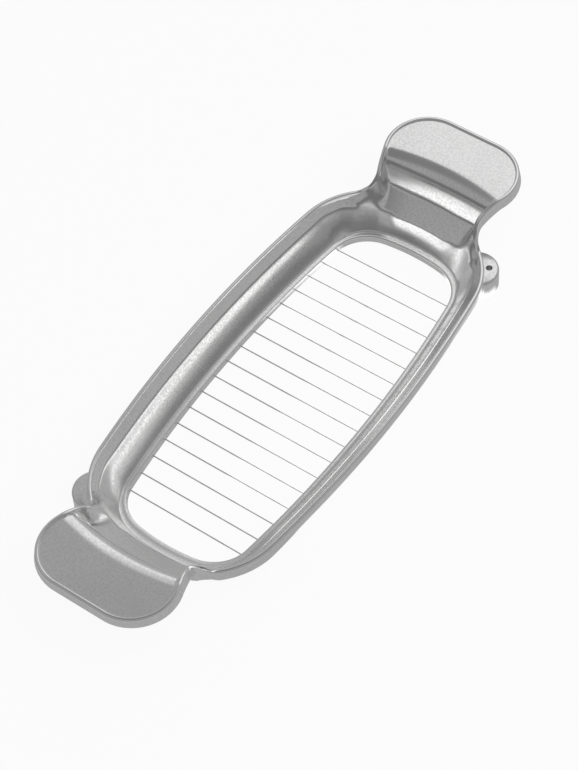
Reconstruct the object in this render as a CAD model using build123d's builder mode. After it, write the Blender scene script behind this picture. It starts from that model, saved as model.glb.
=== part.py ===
from build123d import *

# Wire butter slicer: one cast aluminium frame strung with a single laced cutting wire.
#
# The frame is a long open tray with a barrel-sided opening in its floor, a flat foot ring round that
# opening, a coved wall, a sloped flange, a beaded rim with a short skirt, a raised hand grip at each end
# and two anchor ears on diagonally opposite corners. The wire crosses the opening 17 times in slots cut
# in the underside of the foot, and each of its ends is clamped under a screw in one of the ears.
#
# Frame of reference: +X along the tray, +Y across it, +Z up, origin on the resting plane under the middle
# of the opening. Lengths are in millimetres, angles in degrees.

import os
from math import acos, atan2, cos, hypot, radians, sin, sqrt, tan

# ---------------------------------------------------------------- driving dimensions

# Cutting wire
WIRE_COUNT = 17
WIRE_PITCH = 8.2
WIRE_DIAMETER = 0.5
WIRE_HEIGHT = 0.6            # centre of the wires above the resting plane
RETURN_STANDOFF = 0.55       # centre of the strand outside the foot, where it passes to the next slot
RETURN_BEND_RADIUS = 0.45

# Opening in the floor of the tray
OPENING_HALF_LENGTH = 78.8
OPENING_HALF_WIDTH = 29.4
OPENING_SIDE_RADIUS = 497.0
OPENING_END_RADIUS = 80.0
OPENING_CORNER_RADIUS = 15.5

# Foot ring and coved wall
RING_WIDTH = 2.2             # flat top of the foot ring
RING_HEIGHT = 3.1
FOOT_WIDTH = 3.5             # flat underside of the foot ring
FOOT_HEIGHT = 0.9            # upright outer side of the foot
COVE_RADIUS = 27.7
COVE_START_ANGLE = 47.0      # slope of the wall where it leaves the ring
COVE_TOP = 16.0
COVE_STEPS = 4               # bands between the sections that the coved surface is drawn through
WALL_THICKNESS = 2.6
WALL_SECTIONS = (3.1, 6.0, 9.0, 12.3)

# Flange, rim and bead
FLANGE_SLOPE = 43.0
FLANGE_TOP = 15.9
FLANGE_HALF_LENGTH = 94.0    # where the flange meets the riser of the grip
FLANGE_HALF_WIDTH = 41.0
FLANGE_SIDE_RADIUS = 494.0
FLANGE_END_RADIUS = 120.0
FLANGE_CORNER_RADIUS = 30.0
RIM_HALF_LENGTH = 92.0
RIM_HALF_WIDTH = 42.35
RIM_SIDE_RADIUS = 495.0
RIM_END_RADIUS = 120.0
RIM_CORNER_RADIUS = 31.5
RIM_TOP = 16.6
SKIRT_DEPTH = 4.3            # outer face of the rim and of the grips, top to bottom
BEAD_WIDTH = 1.6
BEAD_RADIUS = 0.8

# Hand grips and their necks
GRIP_END = 123.1
GRIP_HALF_WIDTH = 27.4
GRIP_CORNER_RADIUS = 16.85
GRIP_FLANK_ANGLE = 18.2      # how fast the sides of the grip close in towards the neck
GRIP_ROOT = 69.0             # where the grip's plan shape ends, under the rim's
GRIP_FLAT = 28.3             # height of the flat face
GRIP_BEAD_HEIGHT = 0.7
NECK_FILLET_RADIUS = 4.2
NECK_RECESS = 0.4            # how far the neck's side stands back under the skirt
NECK_SIDE = ((19.4, 8.0), (21.3, 16.0), (22.8, 22.0))  # half-width and height, under the skirt
TROUGH_HALF_WIDTH = 18.5     # floor of the neck's trough where the flange meets the riser
TROUGH_SIDE_RISE = 0.5       # how the trough widens with height
TROUGH_SIDE_FLARE = 0.8      # how the trough widens towards the tray

# Riser: half-length and end radius of its surface at a height, up to the bend and the flat of the grip
RISER_SECTIONS = ((15.9, 94.0, 120.0), (20.0, 95.4, 128.0), (24.0, 96.9, 138.0), (27.9, 99.6, 150.0))
BEND_HALF_LENGTH = 104.9
BEND_RADIUS = 95.0

# Side view of the neck, as distance along the tray and height
CLIMB_START = (84.0, 16.6)   # bead, rising from the rim to the grip
CLIMB_MIDDLE = (89.0, 23.4)
CLIMB_END = (99.0, 29.0)
CLIMB_START_SLOPE = 0.6
NECK_UNDERSIDE = ((101.6, 25.5), (97.2, 15.2), (94.0, 11.0), (88.5, 6.4), (80.0, 3.5))

# Anchor ears, screws and washers
EAR_POSITION = (78.3, -29.5)
EAR_RADIUS = 8.4
EAR_BOTTOM = 4.6
EAR_TOP = 13.5
SCREW_POSITION = (81.0, -33.3)
SCREW_HOLE_DIAMETER = 2.5
BLIND_HOLE_TOP = 10.6       # the hole in the ear at -X ends inside the metal
SCREW_DIAMETER = 2.4
SCREW_LENGTH = 6.5
SCREW_HEAD_DIAMETER = 5.2
SCREW_HEAD_HEIGHT = 1.9
SCREW_HEAD_ROUNDING = 0.75
SCREW_SLOT_WIDTH = 0.9
SCREW_SLOT_DEPTH = 0.8
WASHER_DIAMETER = 5.8
WASHER_THICKNESS = 0.5
TAIL_RUN_OUT = 1.6           # how far a wire end runs straight out of its slot before it turns
TAIL_APPROACH = 4.0          # length of the level stretch that leads up to the screw
TAIL_TURN_RADIUS = 0.8
TAIL_HOOK_RADIUS = 1.5       # centre line of the hook round the screw's shank
TAIL_HOOK_ANGLE = 235.0

# ---------------------------------------------------------------- derived sizes

WIRE_RADIUS = WIRE_DIAMETER / 2
WIRE_POSITIONS = [WIRE_PITCH * (i - (WIRE_COUNT - 1) / 2) for i in range(WIRE_COUNT)]
SLOT_WIDTH = WIRE_DIAMETER + 0.1
SLOT_HEIGHT = WIRE_HEIGHT + WIRE_RADIUS
SKIRT_BOTTOM = RIM_TOP - SKIRT_DEPTH
GRIP_TOP = GRIP_FLAT + GRIP_BEAD_HEIGHT
BEAD_DROP = GRIP_BEAD_HEIGHT  # the metal inside the bead stops this far below its crest
CLAMP_HEIGHT = EAR_BOTTOM - WIRE_RADIUS
WASHER_TOP = EAR_BOTTOM - WIRE_DIAMETER
HEAD_TOP = WASHER_TOP - WASHER_THICKNESS
SIDE_REACH = 60.0            # half-width of the blocks that shape the ends, wider than the casting
HOLLOW_MARGIN = 5.0          # how far cuts run past the top of the casting
CREST_FACING = 0.3           # faces whose normal rises more than this are the crest of the bead
TOUCH = 0.01                 # two shapes closer than this touch


def corner_centre(half_length, half_width, side_radius, end_radius, corner_radius):
    """Centre of the corner arc that is tangent to the side arc and to the end arc."""
    side_y = half_width - side_radius
    end_x = half_length - end_radius
    gap = hypot(end_x, side_y)
    to_side = side_radius - corner_radius
    to_end = end_radius - corner_radius
    along = (to_side**2 - to_end**2 + gap**2) / (2 * gap)
    across = sqrt(to_side**2 - along**2)
    unit_x, unit_y = end_x / gap, -side_y / gap
    return along * unit_x + across * unit_y, side_y + along * unit_y - across * unit_x


def barrel_outline(half_length, half_width, side_radius, end_radius, corner_radius):
    """Draw a closed barrel outline: side, end and corner arcs, tangent to one another."""
    side_y = half_width - side_radius
    end_x = half_length - end_radius
    corner_x, corner_y = corner_centre(half_length, half_width, side_radius, end_radius, corner_radius)
    side_angle = atan2(corner_y - side_y, corner_x)
    end_angle = atan2(corner_y, corner_x - end_x)
    middle_angle = (side_angle + end_angle) / 2
    side_point = side_radius * cos(side_angle), side_y + side_radius * sin(side_angle)
    end_point = end_x + end_radius * cos(end_angle), end_radius * sin(end_angle)
    corner_point = corner_x + corner_radius * cos(middle_angle), corner_y + corner_radius * sin(middle_angle)
    for i in (1, -1):
        ThreePointArc(
            (side_point[0], i * side_point[1]),
            (0, i * half_width),
            (-side_point[0], i * side_point[1]),
        )
        ThreePointArc(
            (i * end_point[0], -end_point[1]),
            (i * half_length, 0),
            (i * end_point[0], end_point[1]),
        )
        for j in (1, -1):
            ThreePointArc(
                (i * end_point[0], j * end_point[1]),
                (i * corner_point[0], j * corner_point[1]),
                (i * side_point[0], j * side_point[1]),
            )


def opening_outline(growth):
    """Barrel outline of the opening, grown outwards all round by one distance."""
    barrel_outline(
        OPENING_HALF_LENGTH + growth,
        OPENING_HALF_WIDTH + growth,
        OPENING_SIDE_RADIUS + growth,
        OPENING_END_RADIUS + growth,
        OPENING_CORNER_RADIUS + growth,
    )


def flange_outline(growth):
    """Barrel outline of the flange's top edge, grown outwards all round by one distance."""
    barrel_outline(
        FLANGE_HALF_LENGTH + growth,
        FLANGE_HALF_WIDTH + growth,
        FLANGE_SIDE_RADIUS + growth,
        FLANGE_END_RADIUS + growth,
        FLANGE_CORNER_RADIUS + growth,
    )


def rim_outline(growth):
    """Barrel outline of the rim, grown outwards all round by one distance."""
    barrel_outline(
        RIM_HALF_LENGTH + growth,
        RIM_HALF_WIDTH + growth,
        RIM_SIDE_RADIUS + growth,
        RIM_END_RADIUS + growth,
        RIM_CORNER_RADIUS + growth,
    )


def cove_angle(height):
    """Slope of the coved wall at a height, in radians."""
    return acos(cos(radians(COVE_START_ANGLE)) - (height - RING_HEIGHT) / COVE_RADIUS)


def cove_growth(height):
    """Distance from the edge of the opening out to the inside of the coved wall at a height."""
    return RING_WIDTH + COVE_RADIUS * (sin(cove_angle(height)) - sin(radians(COVE_START_ANGLE)))


def wall_growth(height):
    """Distance from the edge of the opening out to the outside of the wall at a height."""
    return cove_growth(height) + WALL_THICKNESS / sin(cove_angle(height))


def foot_half_width(x):
    """Half-width of the foot ring's outer edge at a place along the tray."""
    side_radius = OPENING_SIDE_RADIUS + FOOT_WIDTH
    corner_radius = OPENING_CORNER_RADIUS + FOOT_WIDTH
    corner_x, corner_y = corner_centre(
        OPENING_HALF_LENGTH,
        OPENING_HALF_WIDTH,
        OPENING_SIDE_RADIUS,
        OPENING_END_RADIUS,
        OPENING_CORNER_RADIUS,
    )
    side_y = OPENING_HALF_WIDTH - OPENING_SIDE_RADIUS
    side_end = side_radius * corner_x / hypot(corner_x, corner_y - side_y)
    if abs(x) < side_end:
        return side_y + sqrt(side_radius**2 - x**2)
    return corner_y + sqrt(corner_radius**2 - (abs(x) - corner_x) ** 2)


def crest_edges(band, outline):
    """Upper edges of the band that lie over an outline."""
    boundary = outline.sketch.faces()[0].outer_wire()
    crest_faces = [face for face in band.faces() if face.normal_at().Z > CREST_FACING]
    edges = [edge for face in crest_faces for edge in face.edges()]
    middles = [edge.position_at(0.5) for edge in edges]
    return [edge for edge, m in zip(edges, middles) if boundary.distance_to(Vector(m.X, m.Y, 0)) < TOUCH]


def bead_climb(drop):
    """Draw the side view of the bead's climb from the rim to the grip, lowered by a drop."""
    Spline(
        (CLIMB_START[0], CLIMB_START[1] - drop),
        (CLIMB_MIDDLE[0], CLIMB_MIDDLE[1] - drop),
        (CLIMB_END[0], CLIMB_END[1] - drop),
        tangents=((1, CLIMB_START_SLOPE), (1, 0)),
    )


def end_limit_outline(half_length, end_radius):
    """Draw a wide rectangle whose two ends are shallow arcs, bulging outwards."""
    sagitta = end_radius - sqrt(end_radius**2 - SIDE_REACH**2)
    corner_x = half_length - sagitta
    for i in (1, -1):
        ThreePointArc((i * corner_x, -SIDE_REACH), (i * half_length, 0), (i * corner_x, SIDE_REACH))
        Line((-corner_x, i * SIDE_REACH), (corner_x, i * SIDE_REACH))


# ---------------------------------------------------------------- plan outline of the whole casting

grip_corner = GRIP_END - GRIP_CORNER_RADIUS, GRIP_HALF_WIDTH - GRIP_CORNER_RADIUS
flank = radians(GRIP_FLANK_ANGLE)
flank_start = (
    grip_corner[0] - GRIP_CORNER_RADIUS * sin(flank),
    grip_corner[1] + GRIP_CORNER_RADIUS * cos(flank),
)
flank_end = GRIP_ROOT, flank_start[1] - (flank_start[0] - GRIP_ROOT) * tan(flank)

with BuildSketch() as plan_outline:
    with BuildLine():
        rim_outline(0)
    make_face()
    for i in (1, -1):
        with BuildLine():
            Polyline(
                (i * flank_end[0], flank_end[1]),
                (i * flank_start[0], flank_start[1]),
                (i * grip_corner[0], grip_corner[1]),
                (i * grip_corner[0], -grip_corner[1]),
                (i * flank_start[0], -flank_start[1]),
                (i * flank_end[0], -flank_end[1]),
                close=True,
            )
        make_face()
        with Locations((i * grip_corner[0], grip_corner[1]), (i * grip_corner[0], -grip_corner[1])):
            Circle(GRIP_CORNER_RADIUS)
        with Locations((i * grip_corner[0], 0)):
            Rectangle(2 * GRIP_CORNER_RADIUS, 2 * grip_corner[1])
    neck_corners = [v for v in plan_outline.vertices() if flank_end[0] < abs(v.X) < RIM_HALF_LENGTH]
    fillet(neck_corners, radius=NECK_FILLET_RADIUS)

with BuildSketch() as recessed_outline:
    add(plan_outline.sketch)
    offset(amount=-NECK_RECESS, kind=Kind.ARC)

with BuildSketch() as inner_outline:
    add(plan_outline.sketch)
    offset(amount=-BEAD_WIDTH, kind=Kind.ARC)

# ---------------------------------------------------------------- hollow of the tray and of the grips

with BuildPart() as wall_hollow:
    for i in range(COVE_STEPS + 1):
        height = RING_HEIGHT + i * (COVE_TOP - RING_HEIGHT) / COVE_STEPS
        with BuildSketch(Plane.XY.offset(height)):
            with BuildLine():
                opening_outline(cove_growth(height))
            make_face()
    loft()

with BuildPart() as flange_hollow:
    for drop in (FLANGE_TOP - RING_HEIGHT, 0):
        with BuildSketch(Plane.XY.offset(FLANGE_TOP - drop)):
            with BuildLine():
                flange_outline(-drop / tan(radians(FLANGE_SLOPE)))
            make_face()
    loft(ruled=True)

with BuildPart() as riser_hollow:
    for height, half_length, end_radius in RISER_SECTIONS:
        with BuildSketch(Plane.XY.offset(height)):
            with BuildLine():
                end_limit_outline(half_length, end_radius)
            make_face()
    loft()

with BuildPart() as bend_hollow:
    bend_bottom, bend_start, bend_start_radius = RISER_SECTIONS[-1]
    with BuildSketch(Plane.XY.offset(bend_bottom)):
        with BuildLine():
            end_limit_outline(bend_start, bend_start_radius)
        make_face()
    with BuildSketch(Plane.XY.offset(GRIP_FLAT)):
        with BuildLine():
            end_limit_outline(BEND_HALF_LENGTH, BEND_RADIUS)
        make_face()
    loft(ruled=True)

# Solid cheeks beside the trough of each neck: upright along the riser, flaring out towards the tray.
with BuildPart() as trough_cheeks:
    for flare, mode in ((0, Mode.ADD), (TROUGH_SIDE_FLARE, Mode.INTERSECT)):
        cheek_face = Plane(
            origin=(FLANGE_HALF_LENGTH, TROUGH_HALF_WIDTH, FLANGE_TOP),
            x_dir=(1, -flare, 0),
            z_dir=(flare, 1, -TROUGH_SIDE_RISE),
        )
        with BuildSketch(cheek_face):
            Rectangle(SIDE_REACH, SIDE_REACH)
        extrude(amount=SIDE_REACH, mode=mode)
    mirror(about=Plane.XZ)
    mirror(about=Plane.YZ)

with BuildPart() as hollow:
    add(wall_hollow.part)
    add(flange_hollow.part)
    add(riser_hollow.part)
    add(bend_hollow.part)
    with Locations((0, 0, GRIP_FLAT)):
        Box(2 * GRIP_END, 2 * SIDE_REACH, HOLLOW_MARGIN, align=(Align.CENTER, Align.CENTER, Align.MIN))
    add(trough_cheeks.part, mode=Mode.SUBTRACT)
    extrude(inner_outline.sketch, amount=GRIP_FLAT + HOLLOW_MARGIN, mode=Mode.INTERSECT)

# ---------------------------------------------------------------- frame casting

with BuildPart() as neck_block:
    with BuildSketch(Plane.XZ):
        with BuildLine():
            bead_climb(BEAD_DROP)
            Polyline(
                (CLIMB_END[0], CLIMB_END[1] - BEAD_DROP),
                (GRIP_END, CLIMB_END[1] - BEAD_DROP),
                (GRIP_END, NECK_UNDERSIDE[0][1]),
                *NECK_UNDERSIDE,
                (NECK_UNDERSIDE[-1][0], CLIMB_START[1] - BEAD_DROP),
                (CLIMB_START[0], CLIMB_START[1] - BEAD_DROP),
            )
        make_face()
    extrude(amount=SIDE_REACH, both=True)
    mirror(about=Plane.YZ)
    extrude(recessed_outline.sketch, amount=GRIP_TOP, mode=Mode.INTERSECT)
    with BuildSketch(Plane.YZ):
        Polygon(
            (-NECK_SIDE[0][0], 0),
            (NECK_SIDE[0][0], 0),
            *NECK_SIDE,
            (SIDE_REACH, NECK_SIDE[-1][1]),
            (SIDE_REACH, GRIP_TOP),
            (-SIDE_REACH, GRIP_TOP),
            (-SIDE_REACH, NECK_SIDE[-1][1]),
            *[(-half_width, height) for half_width, height in reversed(NECK_SIDE)],
            align=None,
        )
    extrude(amount=2 * GRIP_END, both=True, mode=Mode.INTERSECT)

# Skirt and bead: an upright band along the whole plan outline, climbing at the necks.
with BuildPart() as edge_band:
    with BuildSketch(Plane.XZ):
        for drop, mode in ((0, Mode.ADD), (SKIRT_DEPTH, Mode.SUBTRACT)):
            with BuildLine():
                bead_climb(drop)
                Polyline(
                    (CLIMB_END[0], CLIMB_END[1] - drop),
                    (GRIP_END, CLIMB_END[1] - drop),
                    (GRIP_END, 0),
                    (0, 0),
                    (0, CLIMB_START[1] - drop),
                    (CLIMB_START[0], CLIMB_START[1] - drop),
                )
            make_face(mode=mode)
    extrude(amount=SIDE_REACH, both=True)
    mirror(about=Plane.YZ)
    extrude(plan_outline.sketch, amount=GRIP_TOP, mode=Mode.INTERSECT)
    extrude(inner_outline.sketch, amount=GRIP_TOP, mode=Mode.SUBTRACT)
    fillet(crest_edges(edge_band, plan_outline), radius=BEAD_RADIUS)

with BuildPart() as wall_block:
    foot_section = [(FOOT_HEIGHT, FOOT_WIDTH)]
    for height, growth in foot_section + [(z, wall_growth(z)) for z in WALL_SECTIONS]:
        with BuildSketch(Plane.XY.offset(height)):
            with BuildLine():
                opening_outline(growth)
            make_face()
    loft(ruled=True)
    with BuildSketch():
        with BuildLine():
            opening_outline(FOOT_WIDTH)
        make_face()
    extrude(amount=FOOT_HEIGHT)

with BuildPart() as rim_block:
    for drop in (SKIRT_BOTTOM - RING_HEIGHT, 0):
        with BuildSketch(Plane.XY.offset(SKIRT_BOTTOM - drop)):
            with BuildLine():
                rim_outline(-drop / tan(radians(FLANGE_SLOPE)))
            make_face()
    loft(ruled=True)
    with BuildSketch(Plane.XY.offset(SKIRT_BOTTOM)):
        with BuildLine():
            rim_outline(-BEAD_WIDTH / 2)
        make_face()
    extrude(amount=SKIRT_DEPTH - BEAD_DROP)

with BuildPart() as frame:
    add(wall_block.part)
    add(rim_block.part)
    add(neck_block.part)
    add(edge_band.part)
    with Locations(EAR_POSITION, (-EAR_POSITION[0], -EAR_POSITION[1])):
        with Locations((0, 0, EAR_BOTTOM)):
            Cylinder(EAR_RADIUS, EAR_TOP - EAR_BOTTOM, align=(Align.CENTER, Align.CENTER, Align.MIN))
    add(hollow.part, mode=Mode.SUBTRACT)
    with BuildSketch():
        with BuildLine():
            opening_outline(0)
        make_face()
    extrude(amount=RING_HEIGHT, mode=Mode.SUBTRACT)
    with BuildSketch(Plane.XY.offset(RING_HEIGHT)):
        with BuildLine():
            opening_outline(RING_WIDTH)
        make_face()
    extrude(amount=HOLLOW_MARGIN, mode=Mode.SUBTRACT)
    with Locations([(x, 0, 0) for x in WIRE_POSITIONS]):
        Box(
            SLOT_WIDTH,
            2 * SIDE_REACH,
            SLOT_HEIGHT,
            align=(Align.CENTER, Align.CENTER, Align.MIN),
            mode=Mode.SUBTRACT,
        )
    for i, hole_top in ((1, 2 * EAR_TOP), (-1, BLIND_HOLE_TOP)):
        with Locations((i * SCREW_POSITION[0], i * SCREW_POSITION[1], 0)):
            Cylinder(
                SCREW_HOLE_DIAMETER / 2,
                hole_top,
                align=(Align.CENTER, Align.CENTER, Align.MIN),
                mode=Mode.SUBTRACT,
            )

# ---------------------------------------------------------------- cutting wire


def return_path(x, side):
    """Centre line of the strand from the slot at x to the next, on the side given by +1 or -1."""
    start_y = side * foot_half_width(x)
    end_y = side * foot_half_width(x + WIRE_PITCH)
    return FilletPolyline(
        (x, start_y, WIRE_HEIGHT),
        (x, start_y + side * RETURN_STANDOFF, WIRE_HEIGHT),
        (x + WIRE_PITCH, end_y + side * RETURN_STANDOFF, WIRE_HEIGHT),
        (x + WIRE_PITCH, end_y, WIRE_HEIGHT),
        radius=RETURN_BEND_RADIUS,
    )


os.makedirs("parts", exist_ok=True)

for i, x in enumerate(WIRE_POSITIONS):
    with BuildPart(Plane.XZ) as cutting_wire:
        with Locations((x, WIRE_HEIGHT)):
            Cylinder(WIRE_RADIUS, 2 * foot_half_width(x))
    cutting_wire.part.label = f"cutting_wire_{i + 1:02d}"
    export_step(cutting_wire.part, f"parts/cutting_wire_{i + 1:02d}.step")

# Seen along +X, the strand passes from one wire to the next by turns on the right and on the left.
for name, side, first in (("wire_returns_right", -1, 0), ("wire_returns_left", 1, 1)):
    with BuildPart() as wire_returns:
        for x in WIRE_POSITIONS[first:-1:2]:
            with BuildLine() as strand:
                return_path(x, side)
            with BuildSketch(Plane(origin=strand.line @ 0, z_dir=strand.line % 0)):
                Circle(WIRE_RADIUS)
            sweep(path=strand.line)
    wire_returns.part.label = name
    export_step(wire_returns.part, f"parts/{name}.step")

with BuildPart() as wire_tail_last:
    tail_x = WIRE_POSITIONS[-1]
    tail_y = -foot_half_width(tail_x)
    hook_y = SCREW_POSITION[1] - TAIL_HOOK_RADIUS
    with BuildLine(Plane.XY.offset(CLAMP_HEIGHT)) as tail:
        FilletPolyline(
            (tail_x, tail_y, WIRE_HEIGHT - CLAMP_HEIGHT),
            (tail_x, tail_y - TAIL_RUN_OUT, WIRE_HEIGHT - CLAMP_HEIGHT),
            (SCREW_POSITION[0] - TAIL_APPROACH, hook_y, 0),
            (SCREW_POSITION[0], hook_y, 0),
            radius=TAIL_TURN_RADIUS,
        )
        CenterArc(SCREW_POSITION, TAIL_HOOK_RADIUS, start_angle=-90, arc_size=TAIL_HOOK_ANGLE)
    with BuildSketch(Plane(origin=tail.line @ 0, z_dir=tail.line % 0)):
        Circle(WIRE_RADIUS)
    sweep(path=tail.line)

with BuildPart() as wire_tail_first:
    add(wire_tail_last.part, rotation=(0, 0, 180))

# ---------------------------------------------------------------- anchor screws and washers

with BuildPart() as anchor_screws:
    with Locations((SCREW_POSITION[0], SCREW_POSITION[1], HEAD_TOP)):
        Cylinder(SCREW_DIAMETER / 2, SCREW_LENGTH, align=(Align.CENTER, Align.CENTER, Align.MIN))
        Cylinder(SCREW_HEAD_DIAMETER / 2, SCREW_HEAD_HEIGHT, align=(Align.CENTER, Align.CENTER, Align.MAX))
    head_rim = anchor_screws.edges().filter_by(GeomType.CIRCLE).group_by(Axis.Z)[0]
    fillet(head_rim, radius=SCREW_HEAD_ROUNDING)
    with Locations((SCREW_POSITION[0], SCREW_POSITION[1], HEAD_TOP - SCREW_HEAD_HEIGHT)):
        Box(
            SCREW_SLOT_WIDTH,
            SCREW_HEAD_DIAMETER,
            SCREW_SLOT_DEPTH,
            align=(Align.CENTER, Align.CENTER, Align.MIN),
            mode=Mode.SUBTRACT,
        )
    add(anchor_screws.part, rotation=(0, 0, 180))

with BuildPart() as clamp_washers:
    for i in (1, -1):
        with Locations((i * SCREW_POSITION[0], i * SCREW_POSITION[1], HEAD_TOP)):
            Cylinder(WASHER_DIAMETER / 2, WASHER_THICKNESS, align=(Align.CENTER, Align.CENTER, Align.MIN))
            Cylinder(SCREW_HOLE_DIAMETER / 2, 2 * WASHER_THICKNESS, mode=Mode.SUBTRACT)

# ---------------------------------------------------------------- export

frame.part.label = "frame"
export_step(frame.part, "parts/frame.step")

wire_tail_first.part.label = "wire_tail_first"
export_step(wire_tail_first.part, "parts/wire_tail_first.step")

wire_tail_last.part.label = "wire_tail_last"
export_step(wire_tail_last.part, "parts/wire_tail_last.step")

anchor_screws.part.label = "anchor_screws"
export_step(anchor_screws.part, "parts/anchor_screws.step")

clamp_washers.part.label = "clamp_washers"
export_step(clamp_washers.part, "parts/clamp_washers.step")
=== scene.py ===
import logging
from dataclasses import dataclass, field
from enum import Enum
from math import acos, atan2, ceil, cos, hypot, inf, pi, radians, sin, sqrt, tan
from typing import Callable, Iterator, Sequence

import bpy
from mathutils import Matrix, Vector
from mathutils.kdtree import KDTree


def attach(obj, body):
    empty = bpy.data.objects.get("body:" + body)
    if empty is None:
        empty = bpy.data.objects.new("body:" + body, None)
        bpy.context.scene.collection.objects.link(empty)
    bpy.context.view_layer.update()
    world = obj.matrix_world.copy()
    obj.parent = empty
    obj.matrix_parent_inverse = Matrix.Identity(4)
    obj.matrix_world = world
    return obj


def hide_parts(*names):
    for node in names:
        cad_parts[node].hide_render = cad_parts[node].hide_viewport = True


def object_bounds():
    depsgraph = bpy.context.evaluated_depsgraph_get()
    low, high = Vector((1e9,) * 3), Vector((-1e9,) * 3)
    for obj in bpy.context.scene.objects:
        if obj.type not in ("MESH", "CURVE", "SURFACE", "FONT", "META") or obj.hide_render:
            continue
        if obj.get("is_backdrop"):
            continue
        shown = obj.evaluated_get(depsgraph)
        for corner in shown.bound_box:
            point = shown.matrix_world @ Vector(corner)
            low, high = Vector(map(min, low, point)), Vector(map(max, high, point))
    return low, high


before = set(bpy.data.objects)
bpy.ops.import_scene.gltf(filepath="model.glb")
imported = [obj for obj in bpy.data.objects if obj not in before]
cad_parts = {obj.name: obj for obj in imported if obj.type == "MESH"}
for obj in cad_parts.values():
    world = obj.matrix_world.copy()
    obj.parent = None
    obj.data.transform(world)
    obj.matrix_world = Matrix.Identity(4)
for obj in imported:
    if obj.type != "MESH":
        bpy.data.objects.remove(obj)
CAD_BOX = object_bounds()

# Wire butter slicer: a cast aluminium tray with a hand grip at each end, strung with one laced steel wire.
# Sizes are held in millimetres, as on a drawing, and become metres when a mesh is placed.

log = logging.getLogger("butter_slicer")

MM = 0.001
RENDER_HEIGHT = 770
WELD = 2e-6
HALVINGS = 40

Point = tuple[float, float]
Place = tuple[float, float, float]


# ------------------------------------------------------------------ modelling helpers


class Combining(Enum):
    """What is done to a piece with another mesh."""

    ADD = "UNION"
    CUT = "DIFFERENCE"


def pick_only(*objects: bpy.types.Object) -> None:
    """Select these objects and nothing else, the first of them active.

    Args:
        objects: the objects to select.
    """
    if bpy.context.mode != "OBJECT":
        bpy.ops.object.mode_set(mode="OBJECT")
    bpy.ops.object.select_all(action="DESELECT")
    for piece in objects:
        piece.select_set(True)
    bpy.context.view_layer.objects.active = objects[0]


def add(operator: Callable[..., set[str]], **settings: object) -> bpy.types.Object:
    """Add a primitive with nothing else selected, and put its place into its mesh.

    Args:
        operator: the operator that adds it.
        settings: the operator's options.

    Returns:
        The new piece.
    """
    bpy.ops.object.select_all(action="DESELECT")
    operator(**settings)
    bpy.ops.object.transform_apply(location=True, rotation=True, scale=True)
    return bpy.context.object


def sheet(name: str, columns: int, rows: int, place: Callable[[int, int], Place]) -> bpy.types.Object:
    """Add a grid of quads and shape it by giving every corner its place.

    Args:
        name: name of the new piece.
        columns: number of corners along the sheet.
        rows: number of corners across the sheet.
        place: gives the place of a corner in millimetres from its column and row.

    Returns:
        The shaped sheet.
    """
    piece = add(bpy.ops.mesh.primitive_grid_add, x_subdivisions=columns - 1, y_subdivisions=rows - 1, size=1)
    piece.name = name
    corners = [MM * c for row in range(rows) for column in range(columns) for c in place(column, row)]
    piece.data.vertices.foreach_set("co", corners)
    piece.data.update()
    return piece


def join(name: str, parts: Sequence[bpy.types.Object]) -> bpy.types.Object:
    """Join several meshes into one piece and close the seams between them.

    Args:
        name: name of the joined piece.
        parts: the meshes to join.

    Returns:
        The joined piece.
    """
    pick_only(*parts)
    bpy.ops.object.join()
    piece = bpy.context.object
    piece.name = name
    piece.data.name = name
    weld(piece)
    return piece


def weld(piece: bpy.types.Object) -> None:
    """Merge doubled corners and turn every face outwards.

    Args:
        piece: the mesh to close.
    """
    pick_only(piece)
    bpy.ops.object.mode_set(mode="EDIT")
    bpy.ops.mesh.select_all(action="SELECT")
    bpy.ops.mesh.remove_doubles(threshold=WELD)
    bpy.ops.mesh.normals_make_consistent(inside=False)
    bpy.ops.object.mode_set(mode="OBJECT")


def apply_modifier(piece: bpy.types.Object, kind: str, **settings: object) -> None:
    """Add one modifier to a piece and apply it.

    Args:
        piece: the piece to change.
        kind: Blender's name for the modifier type.
        settings: the modifier's properties.
    """
    pick_only(piece)
    modifier = piece.modifiers.new(kind.lower(), kind)
    for key, value in settings.items():
        setattr(modifier, key, value)
    bpy.ops.object.modifier_apply(modifier=modifier.name)


def combine(piece: bpy.types.Object, way: Combining, tool: bpy.types.Object) -> None:
    """Add another mesh to a piece or cut it away, and use it up.

    Args:
        piece: the piece to change.
        way: what is done to it.
        tool: the closed mesh that is used up.
    """
    apply_modifier(piece, "BOOLEAN", operation=way.value, object=tool, solver="EXACT")
    bpy.data.objects.remove(tool, do_unlink=True)


def rod(radius: float, low: Place, height: float, segments: int) -> bpy.types.Object:
    """Add an upright round bar.

    Args:
        radius: its radius in millimetres.
        low: centre of its lower end in millimetres.
        height: its height in millimetres.
        segments: number of sides.

    Returns:
        The bar, its place in its mesh.
    """
    return add(
        bpy.ops.mesh.primitive_cylinder_add,
        vertices=segments,
        radius=radius * MM,
        depth=height * MM,
        location=(low[0] * MM, low[1] * MM, (low[2] + height / 2) * MM),
    )


def block(low: Place, high: Place) -> bpy.types.Object:
    """Add a rectangular block between two opposite corners.

    Args:
        low: its lowest corner in millimetres.
        high: its highest corner in millimetres.

    Returns:
        The block, its place in its mesh.
    """
    size = [(b - a) * MM for a, b in zip(low, high)]
    centre = [(a + b) / 2 * MM for a, b in zip(low, high)]
    return add(bpy.ops.mesh.primitive_cube_add, size=1, location=centre, scale=size)


def between(a: Point, b: Point, share: float) -> Point:
    """Point part of the way from a to b."""
    return a[0] + (b[0] - a[0]) * share, a[1] + (b[1] - a[1]) * share


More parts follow.
